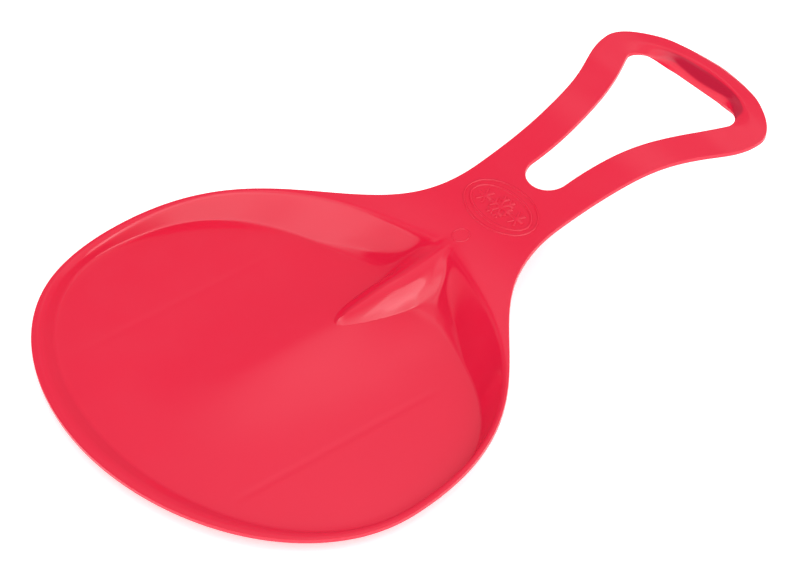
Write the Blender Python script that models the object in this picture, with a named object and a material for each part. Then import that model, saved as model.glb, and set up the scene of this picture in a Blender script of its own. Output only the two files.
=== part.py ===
"""Snow slider with a scooped seat and a hand loop, moulded in one piece.

Metres, +Z up. +Y points from the rear of the seat to the hand grip, and X runs across.
The slider stands on its two runners at Z = 0, centred on the origin.
Plan positions are worked out with Y = 0 at the rear edge, and heights from the seat floor.
"""
import math

import bmesh
import bpy
from mathutils import Vector
from mathutils.geometry import interpolate_bezier

MM = 0.001

# Moulded wall
WALL = 2.5 * MM

# Plan outline: half widths, distances from the rear edge, and the grip's depth back from the front edge
SEAT_HALF_WIDTH = 157.0 * MM
SEAT_WIDEST_AT = 121.0 * MM
WAIST_HALF_WIDTH = 39.5 * MM
WAIST_AT = 326.0 * MM
LOOP_HALF_WIDTH = 72.2 * MM
OVERALL_LENGTH = 501.0 * MM
GRIP_DEPTH = 37.0 * MM

# Hand hole
HOLE_START_AT = 337.5 * MM
HOLE_HALF_WIDTH_NARROW = 15.6 * MM
HOLE_END_LENGTH = 14.0 * MM
HOLE_HALF_WIDTH_WIDE = 48.0 * MM
HOLE_SIDE_LEAN = 2.6 * MM
HOLE_CORNER_LENGTH = 17.0 * MM
HOLE_CORNER_WIDTH = 30.0 * MM
GRIP_WIDTH = 23.6 * MM

# Side profile of the rim, neck and hand loop: a lip above the seat floor, then a slope from each bend on
LIP_HEIGHT = 5.0 * MM
SEAT_BEND_AT = 97.0 * MM
SEAT_SLOPE = 0.10
NECK_BEND_AT = 285.0 * MM
NECK_SLOPE = 0.195
GRIP_BEND_BACK = 101.0 * MM
GRIP_SLOPE = 0.043
BEND_LENGTH = 18.0 * MM

# Rim band and scoop wall, as widths in plan
RIM_REAR = 4.0 * MM
RIM_SIDE = 2.0 * MM
SCOOP_FRONT_AT = 269.7 * MM
WALL_RUN_REAR = 14.0 * MM
WALL_RUN_SIDE = 8.0 * MM
WALL_RUN_FRONT = 37.5 * MM
BRIM_REACH = 2.6 * MM
FOOT_REACH = 1.2 * MM

# Pockets, and the pommel ridge between the rider's thighs
POCKET_RADIUS = 7.0 * MM
POCKET_FOOT_X = 32.0 * MM
POCKET_SPAN = 60.0 * MM
POCKET_BRIM_REACH = 5.0 * MM
POCKET_FOOT_REACH = 12.0 * MM
RIDGE_FOOT_X = 16.5 * MM
RIDGE_FOOT_AT = 226.0 * MM
RIDGE_FRONT_AT = 264.0 * MM
RIDGE_TAIL_AT = 185.0 * MM
RIDGE_TAIL_HEIGHT = 7.8 * MM
RIDGE_RUN_OUT = 4.0 * MM
RIDGE_FULLNESS = 0.6 * MM
CREST_REACH = 30.0 * MM
RIDGE_FOOT_REACH = 1.5 * MM

# Low crown along the middle of the seat floor
CROWN_HEIGHT = 5.0 * MM
CROWN_HALF_WIDTH = 34.0 * MM
CROWN_FROM = 40.0 * MM
CROWN_TO = 285.0 * MM

# Half-round grip bar, open below
GRIP_SWELL = 2.9 * MM
GRIP_SWELL_BACK = 61.0 * MM
GRIP_SWELL_RUN = 40.0 * MM
GRIP_DROP_INSIDE = 8.7 * MM
GRIP_DROP_OUTSIDE = 6.2 * MM

# Runners under the floor
RUNNER_SPACING = 161.0 * MM
RUNNER_FROM = 40.0 * MM
RUNNER_TO = 204.0 * MM
RUNNER_HEIGHT = 3.5 * MM
RUNNER_FOOT_WIDTH = 2.4 * MM
RUNNER_ROOT_WIDTH = 4.0 * MM
RUNNER_RAMP = 8.0 * MM

# How full each curve of the outline is, as shares of the span that its handle reaches over
REAR_HANDLES = (0.474, 0.656)
SHOULDER_HANDLES = (0.608, 0.440)
ARM_HANDLES = (0.775, 0.218)
GRIP_HANDLES = (0.512, 0.285)
HOLE_SIDE_HANDLES = (0.57, 0.063)
FRONT_HANDLES = (0.66, 0.507)
FRONT_SWEEP = 0.183
FOOT_HANDLES = (0.37, 0.97)
FOOT_FRONT_SWEEP = 0.20
RIDGE_FOOT_FLARE = 0.10
ROUND = 0.5523

# Most of a wall's or a ridge flank's run that its two curves may take, most of a wall's slope that each
# may take, and how much of a flank's slope its crest's long bend takes
SECTION_LIMIT = 0.75
RIDGE_SECTION_LIMIT = 0.36
SLOPE_LIMIT = 0.45
FLANK_BEND = 0.85

# Where each skirt of the grip bar starts and is full, as shares of the way from corner to middle
INSIDE_SKIRT = (0.0, 0.60)
OUTSIDE_SKIRT = (0.42, 1.0)

# Number of faces along each stretch, and across the neck, which the pockets and the hand loop follow
REAR_STEPS = 14
SHOULDER_STEPS = 20
CROSS_STEPS = 8
RIDGE_STEPS = 12
ARM_STEPS = 15
HOLE_END_STEPS = 5
GRIP_STEPS = 15
RIM_RINGS = 4
BRIM_RINGS = 4
FOOT_RINGS = 4
CURVE_SAMPLES = 96

MERGE = 0.01 * MM


def smooth_ramp(value, reach):
    """A ramp that starts at zero and bends from level to a slope of one over the given reach."""
    if value <= -reach:
        return 0.0
    if value >= reach:
        return value
    return (value + reach) ** 2 / (4 * reach)


def ease(share):
    """A smooth rise from 0 to 1."""
    share = min(max(share, 0.0), 1.0)
    return share * share * (3 - 2 * share)


BENDS = (
    (SEAT_BEND_AT, SEAT_SLOPE),
    (NECK_BEND_AT, NECK_SLOPE - SEAT_SLOPE),
    (OVERALL_LENGTH - GRIP_BEND_BACK, GRIP_SLOPE - NECK_SLOPE),
)
LOOP_WIDEST_AT = OVERALL_LENGTH - GRIP_DEPTH


def deck_height(y):
    """Height of the rim, neck and hand loop above the seat floor."""
    swell = GRIP_SWELL * ease((y - OVERALL_LENGTH + GRIP_SWELL_BACK) / GRIP_SWELL_RUN)
    return LIP_HEIGHT + swell + sum(slope * smooth_ramp(y - at, BEND_LENGTH) for at, slope in BENDS)


def floor_height(x, y):
    """Height of the seat floor, with a low crown along its middle that is highest at the ridge's tail."""
    growth = ease((y - CROWN_FROM) / (RIDGE_TAIL_AT - CROWN_FROM))
    decline = ease((CROWN_TO - y) / (CROWN_TO - RIDGE_TAIL_AT))
    return CROWN_HEIGHT * growth * decline * math.exp(-(x / CROWN_HALF_WIDTH) ** 2)


def crest_height(y):
    """Height of the ridge's crest, from its tail up to the deck."""
    share = (y - RIDGE_TAIL_AT) / (RIDGE_FRONT_AT - RIDGE_TAIL_AT)
    straight = RIDGE_TAIL_HEIGHT + share * (deck_height(RIDGE_FRONT_AT) - RIDGE_TAIL_HEIGHT)
    return straight + RIDGE_FULLNESS * 4 * share * (1 - share)


def slope_of(height, y):
    """Slope of a height function along Y."""
    return (height(y + MERGE) - height(y - MERGE)) / (2 * MERGE)


def spaced(points, shares):
    """Points at the given shares of a polyline's length."""
    lengths = [0.0]
    for before, after in zip(points, points[1:]):
        lengths.append(lengths[-1] + (after - before).length)
    result = []
    index = 1
    for share in shares:
        target = share * lengths[-1]
        while index < len(lengths) - 1 and lengths[index] < target:
            index += 1
        span = lengths[index] - lengths[index - 1]
        result.append(points[index - 1].lerp(points[index], (target - lengths[index - 1]) / span))
    return result


def evenly(steps):
    """Even shares from 0 to 1."""
    return [step / steps for step in range(steps + 1)]


def curve(start, start_handle, end_handle, end, steps):
    """Evenly spaced points of one cubic curve."""
    knots = [Vector(point) for point in (start, start_handle, end_handle, end)]
    return spaced(interpolate_bezier(*knots, CURVE_SAMPLES), evenly(steps))


def joined(*stretches):
    """Stretches that meet end to end, as one list of points."""
    points = list(stretches[0])
    for stretch in stretches[1:]:
        points.extend(stretch[1:])
    return points


def quarter(start, end, steps):
    """A quarter of an ellipse that leaves its start along X and reaches its end along Y."""
    handle_x = start[0] + ROUND * (end[0] - start[0])
    handle_y = end[1] - ROUND * (end[1] - start[1])
    return curve(start, (handle_x, start[1]), (end[0], handle_y), end, steps)


def seat_outline():
    """Half outline of the seat, from the rear edge to the waist."""
    rear, side, waist = (0, 0), (SEAT_HALF_WIDTH, SEAT_WIDEST_AT), (WAIST_HALF_WIDTH, WAIST_AT)
    reach = WAIST_AT - SEAT_WIDEST_AT
    back = curve(rear, (REAR_HANDLES[0] * SEAT_HALF_WIDTH, 0),
                 (SEAT_HALF_WIDTH, SEAT_WIDEST_AT * (1 - REAR_HANDLES[1])), side, REAR_STEPS)
    shoulder = curve(side, (side[0], side[1] + SHOULDER_HANDLES[0] * reach),
                     (waist[0], waist[1] - SHOULDER_HANDLES[1] * reach), waist, SHOULDER_STEPS)
    return back, shoulder


def loop_outline():
    """Half outline of the hand loop, from the waist to the middle of the grip."""
    waist, side, tip = (WAIST_HALF_WIDTH, WAIST_AT), (LOOP_HALF_WIDTH, LOOP_WIDEST_AT), (0, OVERALL_LENGTH)
    arm_reach = LOOP_WIDEST_AT - WAIST_AT
    arm = curve(waist, (waist[0], waist[1] + ARM_HANDLES[0] * arm_reach),
                (side[0], side[1] - ARM_HANDLES[1] * arm_reach), side, ARM_STEPS)
    grip = curve(side, (side[0], side[1] + GRIP_HANDLES[0] * GRIP_DEPTH),
                 (GRIP_HANDLES[1] * LOOP_HALF_WIDTH, tip[1]), tip, GRIP_STEPS)
    return joined(arm, grip)


def hole_outline():
    """Half outline of the hand hole, from its narrow end to the middle of the grip."""
    start = (0, HOLE_START_AT)
    narrow = (HOLE_HALF_WIDTH_NARROW, HOLE_START_AT + HOLE_END_LENGTH)
    grip_side = OVERALL_LENGTH - GRIP_WIDTH
    wide = (HOLE_HALF_WIDTH_WIDE, grip_side - HOLE_CORNER_LENGTH)
    corner = (wide[0] - HOLE_CORNER_WIDTH, grip_side)
    reach = wide[1] - narrow[1]
    lean = HOLE_SIDE_LEAN / (HOLE_SIDE_HANDLES[1] * reach)
    end = quarter(start, narrow, HOLE_END_STEPS)
    side = curve(narrow, (narrow[0], narrow[1] + HOLE_SIDE_HANDLES[0] * reach),
                 (wide[0] - HOLE_SIDE_LEAN, wide[1] - HOLE_SIDE_HANDLES[1] * reach), wide,
                 ARM_STEPS - HOLE_END_STEPS)
    turn_reach = ROUND * HOLE_CORNER_LENGTH
    turn = curve(wide, (wide[0] + lean * turn_reach / 2, wide[1] + turn_reach),
                 (corner[0] + (1 - ROUND) * HOLE_CORNER_WIDTH, grip_side), corner, CURVE_SAMPLES)
    grip = spaced(turn + [Vector((0, grip_side))], evenly(GRIP_STEPS))
    return joined(end, side, grip)


def brim_line():
    """Top edge of the scoop: round the seat, across the front, round the pocket, along the ridge's crest."""
    rear = (0, RIM_REAR)
    side = (SEAT_HALF_WIDTH - RIM_SIDE, SEAT_WIDEST_AT)
    depth = side[1] - rear[1]
    back = curve(rear, (REAR_HANDLES[0] * side[0], rear[1]),
                 (side[0], side[1] - REAR_HANDLES[1] * depth), side, REAR_STEPS)
    front = front_curve(side)
    crest_start = Vector((0, RIDGE_FRONT_AT))
    turn = front[-1] - crest_start
    pocket = curve(front[-1], front[-1] + ROUND * turn.x * Vector((-1, FRONT_SWEEP)),
                   crest_start + Vector((0, ROUND * turn.y)), crest_start, CROSS_STEPS)
    crest = [crest_start.lerp(Vector((0, RIDGE_TAIL_AT)), share) for share in evenly(RIDGE_STEPS)]
    return back, front, pocket, crest


def front_curve(side):
    """Curve of the brim from the seat's widest line to the pocket's corner."""
    reach = FRONT_HANDLES[1] * side[0]
    whole = curve(side, (side[0], side[1] + FRONT_HANDLES[0] * (SCOOP_FRONT_AT - side[1])),
                  (reach, SCOOP_FRONT_AT - FRONT_SWEEP * reach), (0, SCOOP_FRONT_AT), CURVE_SAMPLES)
    outside = [point for point in whole if point.x >= POCKET_RADIUS]
    return spaced(outside, evenly(SHOULDER_STEPS))


def foot_line():
    """Bottom edge of the scoop's wall, with a point for each point of the brim line."""
    rear = (0, RIM_REAR + WALL_RUN_REAR)
    side = (SEAT_HALF_WIDTH - RIM_SIDE - WALL_RUN_SIDE, SEAT_WIDEST_AT)
    depth = side[1] - rear[1]
    back = curve(rear, (REAR_HANDLES[0] * side[0], rear[1]),
                 (side[0], side[1] - REAR_HANDLES[1] * depth), side, REAR_STEPS)
    turn_start = Vector((POCKET_FOOT_X, SCOOP_FRONT_AT - WALL_RUN_FRONT))
    reach = FOOT_HANDLES[1] * (side[0] - turn_start.x)
    front = curve(side, (side[0], side[1] + FOOT_HANDLES[0] * (turn_start.y - side[1])),
                  turn_start + reach * Vector((1, -FOOT_FRONT_SWEEP)), turn_start, SHOULDER_STEPS)
    turn_end = Vector((RIDGE_FOOT_X, RIDGE_FOOT_AT))
    tail = Vector((0, RIDGE_TAIL_AT - RIDGE_RUN_OUT))
    along = Vector((RIDGE_FOOT_FLARE, 1)).normalized()
    turn_reach = ROUND * (turn_start - turn_end).length
    run_reach = (turn_end - tail).length / 3
    turn = curve(turn_start, turn_start - turn_reach * Vector((1, -FOOT_FRONT_SWEEP)),
                 turn_end + along * turn_reach, turn_end, CROSS_STEPS)
    run = curve(turn_end, turn_end - along * run_reach, tail + Vector((run_reach / 2, 0)), tail,
                RIDGE_STEPS)
    return back, front, turn, run


def blend(first, last, share):
    """The value at a share of the way between two values."""
    return first + share * (last - first)


def wall_section(brim, brim_slope, foot, foot_slope, reaches, ridge):
    """One section of the scoop's wall: a rounded brim, a slope and a hollow foot.

    On the ridge's flank, where ridge is 1, the crest's bend takes nearly the whole slope.
    """
    across = Vector((foot.x - brim.x, foot.y - brim.y))
    fit = min(1.0, blend(SECTION_LIMIT, RIDGE_SECTION_LIMIT, ridge) * across.length / sum(reaches))
    brim_reach, foot_reach = (reach * fit for reach in reaches)
    across.normalize()
    down = Vector((across.x, across.y, across.y * brim_slope))
    level = Vector((across.x, across.y, across.y * foot_slope))
    top_corner = brim + down * brim_reach
    low_corner = foot - level * foot_reach
    slope = low_corner - top_corner
    limit = SLOPE_LIMIT * slope.length
    bend = blend(min(brim_reach, limit), FLANK_BEND * slope.length, ridge)
    top_end = top_corner + slope.normalized() * bend
    low_end = low_corner - slope.normalized() * min(foot_reach, limit * (1 - ridge * FLANK_BEND))
    top = interpolate_bezier(brim, brim.lerp(top_corner, ROUND), top_end.lerp(top_corner, ROUND), top_end,
                             BRIM_RINGS + 1)
    low = interpolate_bezier(low_end, low_end.lerp(low_corner, ROUND), foot.lerp(low_corner, ROUND), foot,
                             FOOT_RINGS + 1)
    return list(top) + list(low)


def patch(mesh, rows):
    """A grid of faces whose points are the given rows."""
    count, width = len(rows), len(rows[0])
    grid = bmesh.ops.create_grid(mesh, x_segments=width - 1, y_segments=count - 1, size=0.5)
    ordered = sorted(grid["verts"], key=lambda vert: (round(vert.co.y, 6), round(vert.co.x, 6)))
    for index, vert in enumerate(ordered):
        vert.co = rows[index // width][index % width]


def on_deck(point):
    """A plan point lifted to the deck."""
    return Vector((point.x, point.y, deck_height(point.y)))


def on_floor(point):
    """A plan point lifted to the seat floor."""
    return Vector((point.x, point.y, floor_height(point.x, point.y)))


def deck_rows():
    """Rim band and neck: rows from the outline to the brim, ending on the middle line."""
    back, shoulder = seat_outline()
    neck_end = Vector((0, HOLE_START_AT))
    neck = [shoulder[-1].lerp(neck_end, share) for share in evenly(CROSS_STEPS)]
    outer = joined(back, shoulder, neck)
    brim_back, brim_front, pocket, _ = brim_line()
    inner = joined(brim_back, brim_front, pocket)
    return [[on_deck(far.lerp(near, share)) for share in evenly(RIM_RINGS)]
            for far, near in zip(outer, inner)]


def wall_rows():
    """Scoop wall, pocket and ridge flank: one section for each point of the brim."""
    back, front, pocket, crest = brim_line()
    foot = joined(*foot_line())
    deck_count = len(joined(back, front, pocket))
    rows = []
    for index, top in enumerate(joined(back, front, pocket, crest)):
        ridge = ease((index - deck_count + 1 + CROSS_STEPS) / CROSS_STEPS)
        height = deck_height if index < deck_count else crest_height
        brim = Vector((top.x, top.y, height(top.y)))
        bottom = on_floor(foot[index])
        hollow = ease((POCKET_RADIUS + POCKET_SPAN - top.x) / POCKET_SPAN) if top.y > SEAT_WIDEST_AT else 0.0
        reaches = (blend(blend(BRIM_REACH, POCKET_BRIM_REACH, hollow), CREST_REACH, ridge),
                   blend(blend(FOOT_REACH, POCKET_FOOT_REACH, hollow), RIDGE_FOOT_REACH, ridge))
        foot_slope = slope_of(lambda y: floor_height(bottom.x, y), bottom.y)
        rows.append(wall_section(brim, slope_of(height, top.y), bottom, foot_slope, reaches, ridge))
    return rows


def floor_rows():
    """Seat floor: rows from the foot of the outer wall to the middle line and the foot of the ridge."""
    back, front, turn, run = foot_line()
    outer = joined(back, front)
    middle = spaced([back[0], run[-1]], evenly(len(outer) - len(run)))
    inner = joined(middle, run[::-1])
    rows = [[far.lerp(near, share) for share in evenly(CROSS_STEPS)] for far, near in zip(outer, inner)]
    rows[-1] = turn
    return [[on_floor(point) for point in row] for row in rows]


def loop_rows():
    """Hand loop: flat arms that turn into a half-round grip bar, open below."""
    rows = []
    for index, (far, near) in enumerate(zip(loop_outline(), hole_outline())):
        along = (index - ARM_STEPS) / GRIP_STEPS
        outside = skirt_share(along, OUTSIDE_SKIRT)
        inside = skirt_share(along, INSIDE_SKIRT)
        row = []
        for share in evenly(CROSS_STEPS):
            skirt, drop = (outside, GRIP_DROP_OUTSIDE) if share < 0.5 else (inside, GRIP_DROP_INSIDE)
            share += skirt * ((1 - math.cos(math.pi * share)) / 2 - share)
            point = on_deck(far.lerp(near, share))
            side = 2 * share - 1
            point.z -= drop * skirt * (1 - math.sqrt(max(0.0, 1 - side * side)))
            row.append(point)
        rows.append(row)
    return rows


def skirt_share(along, span):
    """How much of a skirt's full depth it has at a share of the way from the loop's corner to its middle."""
    return ease((along - span[0]) / (span[1] - span[0]))


def paint(name, colour, roughness):
    """A moulded plastic."""
    material = bpy.data.materials.new(name)
    material.use_nodes = True
    shader = material.node_tree.nodes["Principled BSDF"]
    shader.inputs["Base Color"].default_value = (*colour, 1.0)
    shader.inputs["Roughness"].default_value = roughness
    shader.inputs["Metallic"].default_value = 0.0
    return material


def add_object(name, mesh):
    """A mesh object in the scene, from a finished bmesh."""
    data = bpy.data.meshes.new(name)
    mesh.to_mesh(data)
    mesh.free()
    item = bpy.data.objects.new(name, data)
    bpy.context.collection.objects.link(item)
    return item


def half_skin():
    """Top face of the slider's right half."""
    mesh = bmesh.new()
    for rows in (deck_rows(), wall_rows(), floor_rows(), loop_rows()):
        patch(mesh, rows)
    bmesh.ops.remove_doubles(mesh, verts=mesh.verts, dist=MERGE)
    bmesh.ops.dissolve_degenerate(mesh, edges=mesh.edges, dist=MERGE)
    bmesh.ops.recalc_face_normals(mesh, faces=mesh.faces)
    if sum(face.normal.z * face.calc_area() for face in mesh.faces) < 0:
        bmesh.ops.reverse_faces(mesh, faces=mesh.faces)
    lift = Vector((0, -OVERALL_LENGTH / 2, RUNNER_HEIGHT + WALL))
    bmesh.ops.translate(mesh, verts=mesh.verts, vec=lift)
    return mesh


def runner(side):
    """A low keel under the floor, with ramped ends and a flat foot, sunk into the wall above it."""
    root = RUNNER_HEIGHT + WALL / 2
    mesh = bmesh.new()
    bmesh.ops.create_cube(mesh, size=1)
    middle = (RUNNER_FROM + RUNNER_TO - OVERALL_LENGTH) / 2
    for vert in mesh.verts:
        low = vert.co.z < 0
        half_length = (RUNNER_TO - RUNNER_FROM) / 2 - (RUNNER_RAMP if low else 0)
        width = RUNNER_FOOT_WIDTH if low else RUNNER_ROOT_WIDTH
        vert.co = Vector((side * RUNNER_SPACING / 2 + vert.co.x * width,
                          middle + 2 * vert.co.y * half_length, 0 if low else root))
    bmesh.ops.recalc_face_normals(mesh, faces=mesh.faces)
    keel = add_object(f"runner_cutter_{'right' if side > 0 else 'left'}", mesh)
    keel.hide_render = True
    keel.display_type = "WIRE"
    return keel


def build():
    """The slider as one closed moulding."""
    shell = add_object("sled_shell", half_skin())
    shell.data.materials.append(paint("red_polyethylene", (0.855, 0.026, 0.062), 0.22))
    mirror = shell.modifiers.new("Other half", "MIRROR")
    mirror.merge_threshold = MERGE
    wall = shell.modifiers.new("Wall", "SOLIDIFY")
    wall.thickness = WALL
    wall.offset = -1
    wall.use_even_offset = True
    wall.use_quality_normals = True
    for side in (1, -1):
        union = shell.modifiers.new("Runner", "BOOLEAN")
        union.operation = "UNION"
        union.solver = "EXACT"
        union.object = runner(side)
    shell.data.shade_smooth()
    shell.data.set_sharp_from_angle(angle=math.radians(35))


for item in list(bpy.data.objects):
    bpy.data.objects.remove(item, do_unlink=True)
build()
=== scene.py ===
"""Looks of the snow slider: its fine moulded shell, the raised marks on its neck, and a pale studio round it.

Metres, +Z up. +Y points from the rear of the seat to the hand grip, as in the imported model.
Plan positions are worked out with Y = 0 at the rear edge, and heights from the seat floor.
"""

import logging
import math
from collections.abc import Callable, Sequence
from dataclasses import dataclass
from enum import Enum

import bmesh
import bpy
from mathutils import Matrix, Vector
from mathutils.geometry import interpolate_bezier


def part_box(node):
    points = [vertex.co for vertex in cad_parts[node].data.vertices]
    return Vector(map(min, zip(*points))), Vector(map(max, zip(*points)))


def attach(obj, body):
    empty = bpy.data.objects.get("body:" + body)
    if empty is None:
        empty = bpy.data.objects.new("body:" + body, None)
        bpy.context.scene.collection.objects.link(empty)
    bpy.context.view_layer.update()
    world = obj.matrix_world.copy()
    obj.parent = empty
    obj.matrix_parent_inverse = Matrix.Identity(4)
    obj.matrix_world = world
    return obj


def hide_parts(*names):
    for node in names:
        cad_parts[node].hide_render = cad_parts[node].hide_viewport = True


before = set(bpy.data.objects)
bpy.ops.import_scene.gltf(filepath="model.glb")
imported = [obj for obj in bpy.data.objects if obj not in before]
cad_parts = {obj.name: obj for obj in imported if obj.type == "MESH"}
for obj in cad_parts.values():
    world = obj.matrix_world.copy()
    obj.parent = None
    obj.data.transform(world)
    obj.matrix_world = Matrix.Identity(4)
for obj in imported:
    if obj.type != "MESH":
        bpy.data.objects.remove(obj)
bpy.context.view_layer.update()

SHELL_NODE = "sled_shell"
BODY = "root"

MM = 0.001
MERGE = 0.01 * MM
ROUND = 0.5523
CURVE_SAMPLES = 600

Pair = tuple[float, float]
Line = list[Vector]
Rows = list[Line]
Mesh = bmesh.types.BMesh
Tree = bpy.types.NodeTree
Socket = bpy.types.NodeSocket

logging.basicConfig(level=logging.INFO, format="%(message)s")
log = logging.getLogger("snow_slider")


def smooth_ramp(value: float, reach: float) -> float:
    """Bend a ramp from level to a slope of one.

    Args:
        value: Distance past the middle of the bend.
        reach: Half the length of the bend.

    Returns:
        Height of the ramp.
    """
    if value <= -reach:
        return 0.0
    if value >= reach:
        return value
    return (value + reach) ** 2 / (4 * reach)


def ease(share: float) -> float:
    """Rise smoothly from 0 to 1.

    Args:
        share: How far along the rise, from 0 to 1.

    Returns:
        The eased share.
    """
    share = min(max(share, 0.0), 1.0)
    return share * share * (3 - 2 * share)


def evenly(steps: int) -> list[float]:
    """Shares that divide the way from 0 to 1 into equal steps, ends included."""
    return [step / steps for step in range(steps + 1)]


def spaced(points: Sequence[Vector], shares: Sequence[float]) -> Line:
    """Place points along a polyline.

    Args:
        points: The polyline.
        shares: Shares of its length, in rising order.

    Returns:
        A point for each share.
    """
    lengths = [0.0]
    for before, after in zip(points, points[1:]):
        lengths.append(lengths[-1] + (after - before).length)
    result = []
    index = 1
    for share in shares:
        target = share * lengths[-1]
        while index < len(lengths) - 1 and lengths[index] < target:
            index += 1
        span = lengths[index] - lengths[index - 1]
        result.append(points[index - 1].lerp(points[index], (target - lengths[index - 1]) / span))
    return result


def curve(start: Sequence[float], start_handle: Sequence[float], end_handle: Sequence[float],
          end: Sequence[float], steps: int) -> Line:
    """Draw one cubic curve.

    Args:
        start: First point.
        start_handle: Handle of the first point.
        end_handle: Handle of the last point.
        end: Last point.
        steps: Number of equal steps along it.

    Returns:
        Evenly spaced points.
    """
    knots = [Vector(point) for point in (start, start_handle, end_handle, end)]
    return spaced(interpolate_bezier(*knots, CURVE_SAMPLES), evenly(steps))


def joined(*stretches: Line) -> Line:
    """Join stretches that meet end to end.

    Args:
        *stretches: Lists of points, each starting where the last one ended.

    Returns:
        One list without doubled points.
    """
    points = list(stretches[0])
    for stretch in stretches[1:]:
        points.extend(stretch[1:])
    return points


def patch(mesh: Mesh, rows: Rows) -> None:
    """Add a grid of faces and lay its points on the given rows.

    Args:
        mesh: The mesh that gets the faces.
        rows: Rows of equal length.
    """
    width = len(rows[0])
    grid = bmesh.ops.create_grid(mesh, x_segments=width - 1, y_segments=len(rows) - 1, size=0.5)
    ordered = sorted(grid["verts"], key=lambda vert: (round(vert.co.y, 6), round(vert.co.x, 6)))
    for index, vert in enumerate(ordered):
        vert.co = rows[index // width][index % width]


def add_object(name: str, mesh: Mesh) -> bpy.types.Object:
    """Put a finished mesh in the scene.

    Args:
        name: Name of the object.
        mesh: The mesh, which is used up.

    Returns:
        The new object, at the origin.
    """
    data = bpy.data.meshes.new(name)
    mesh.to_mesh(data)
    mesh.free()
    item = bpy.data.objects.new(name, data)
    bpy.context.collection.objects.link(item)
    return item


def settle(item: bpy.types.Object) -> None:
    """Make an object's modifiers part of its mesh.

    Args:
        item: The object to settle.
    """
    graph = bpy.context.evaluated_depsgraph_get()
    settled = bpy.data.meshes.new_from_object(item.evaluated_get(graph), depsgraph=graph)
    item.modifiers.clear()
    item.data = settled
    settled.name = item.name


def round_off(mesh: Mesh, edges: list[bmesh.types.BMEdge], reach: float) -> None:
    """Round edges with a band of three faces."""
    bmesh.ops.bevel(mesh, geom=edges, offset=reach, segments=3, profile=0.5, affect="EDGES",
                    clamp_overlap=True, material=-1)


def shade(item: bpy.types.Object, sharp_angle: float) -> None:
    """Shade a piece smooth, apart from edges that turn by more than the angle."""
    item.data.shade_smooth()
    item.data.set_sharp_from_angle(angle=sharp_angle)


@dataclass(frozen=True)
class SideProfile:
    """Heights above the seat floor along the slider: rim, neck, hand loop, floor and ridge."""

    length: float
    lip_height: float = 5.0 * MM
    seat_bend_at: float = 97.0 * MM
    seat_slope: float = 0.10
    neck_bend_at: float = 285.0 * MM
    neck_slope: float = 0.195
    grip_bend_back: float = 101.0 * MM
    grip_slope: float = 0.043
    bend_length: float = 18.0 * MM
    grip_swell: float = 2.9 * MM
    grip_swell_back: float = 61.0 * MM
    grip_swell_run: float = 40.0 * MM
    crown_height: float = 5.0 * MM
    crown_half_width: float = 34.0 * MM
    crown_from: float = 40.0 * MM
    crown_to: float = 285.0 * MM
    ridge_tail_at: float = 185.0 * MM
    ridge_tail_height: float = 7.8 * MM
    ridge_front_at: float = 264.0 * MM
    ridge_fullness: float = 0.6 * MM

    def deck(self, y: float) -> float:
        """Height of the rim, neck and hand loop.

        Args:
            y: Distance from the rear edge.

        Returns:
            The height.
        """
        bends = (
            (self.seat_bend_at, self.seat_slope),
            (self.neck_bend_at, self.neck_slope - self.seat_slope),
            (self.length - self.grip_bend_back, self.grip_slope - self.neck_slope),
        )
        swell = self.grip_swell * ease((y - self.length + self.grip_swell_back) / self.grip_swell_run)
        return self.lip_height + swell + sum(
            slope * smooth_ramp(y - at, self.bend_length) for at, slope in bends)

    def floor(self, x: float, y: float) -> float:
        """Height of the seat floor with its low crown.

        Args:
            x: Distance from the middle line.
            y: Distance from the rear edge.

        Returns:
            The height.
        """
        growth = ease((y - self.crown_from) / (self.ridge_tail_at - self.crown_from))
        decline = ease((self.crown_to - y) / (self.crown_to - self.ridge_tail_at))
        return self.crown_height * growth * decline * math.exp(-(x / self.crown_half_width) ** 2)

    def crest(self, y: float) -> float:
        """Height of the ridge's crest.

        Args:
            y: Distance from the rear edge.

        Returns:
            The height.
        """
        share = (y - self.ridge_tail_at) / (self.ridge_front_at - self.ridge_tail_at)
        top = self.deck(self.ridge_front_at)
        straight = self.ridge_tail_height + share * (top - self.ridge_tail_height)
        return straight + self.ridge_fullness * 4 * share * (1 - share)

    def on_deck(self, point: Vector) -> Vector:
        """Lift a plan point to the deck."""
        return Vector((point.x, point.y, self.deck(point.y)))

    def on_floor(self, point: Vector) -> Vector:
        """Lift a plan point to the seat floor."""
        return Vector((point.x, point.y, self.floor(point.x, point.y)))


def slope_of(height: Callable[[float], float], y: float) -> float:
    """Slope that a height has along the slider at one distance from the rear edge."""
    return (height(y + MERGE) - height(y - MERGE)) / (2 * MERGE)


@dataclass(frozen=True)
class Fineness:
    """Number of faces along each stretch of the shell and across each band."""

    rear: int = 48
    shoulder: int = 64
    cross: int = 24
    ridge: int = 36
    arm: int = 52
    hole_end: int = 16
    grip: int = 52
    rim: int = 12
    brim: int = 8
    slope: int = 6
    foot: int = 8


@dataclass(frozen=True)
class Waist:
    """The neck's end, where the hand loop takes over from the seat."""

    half_width: float = 39.5 * MM
    at: float = 326.0 * MM
    hole_start_at: float = 337.5 * MM


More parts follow.
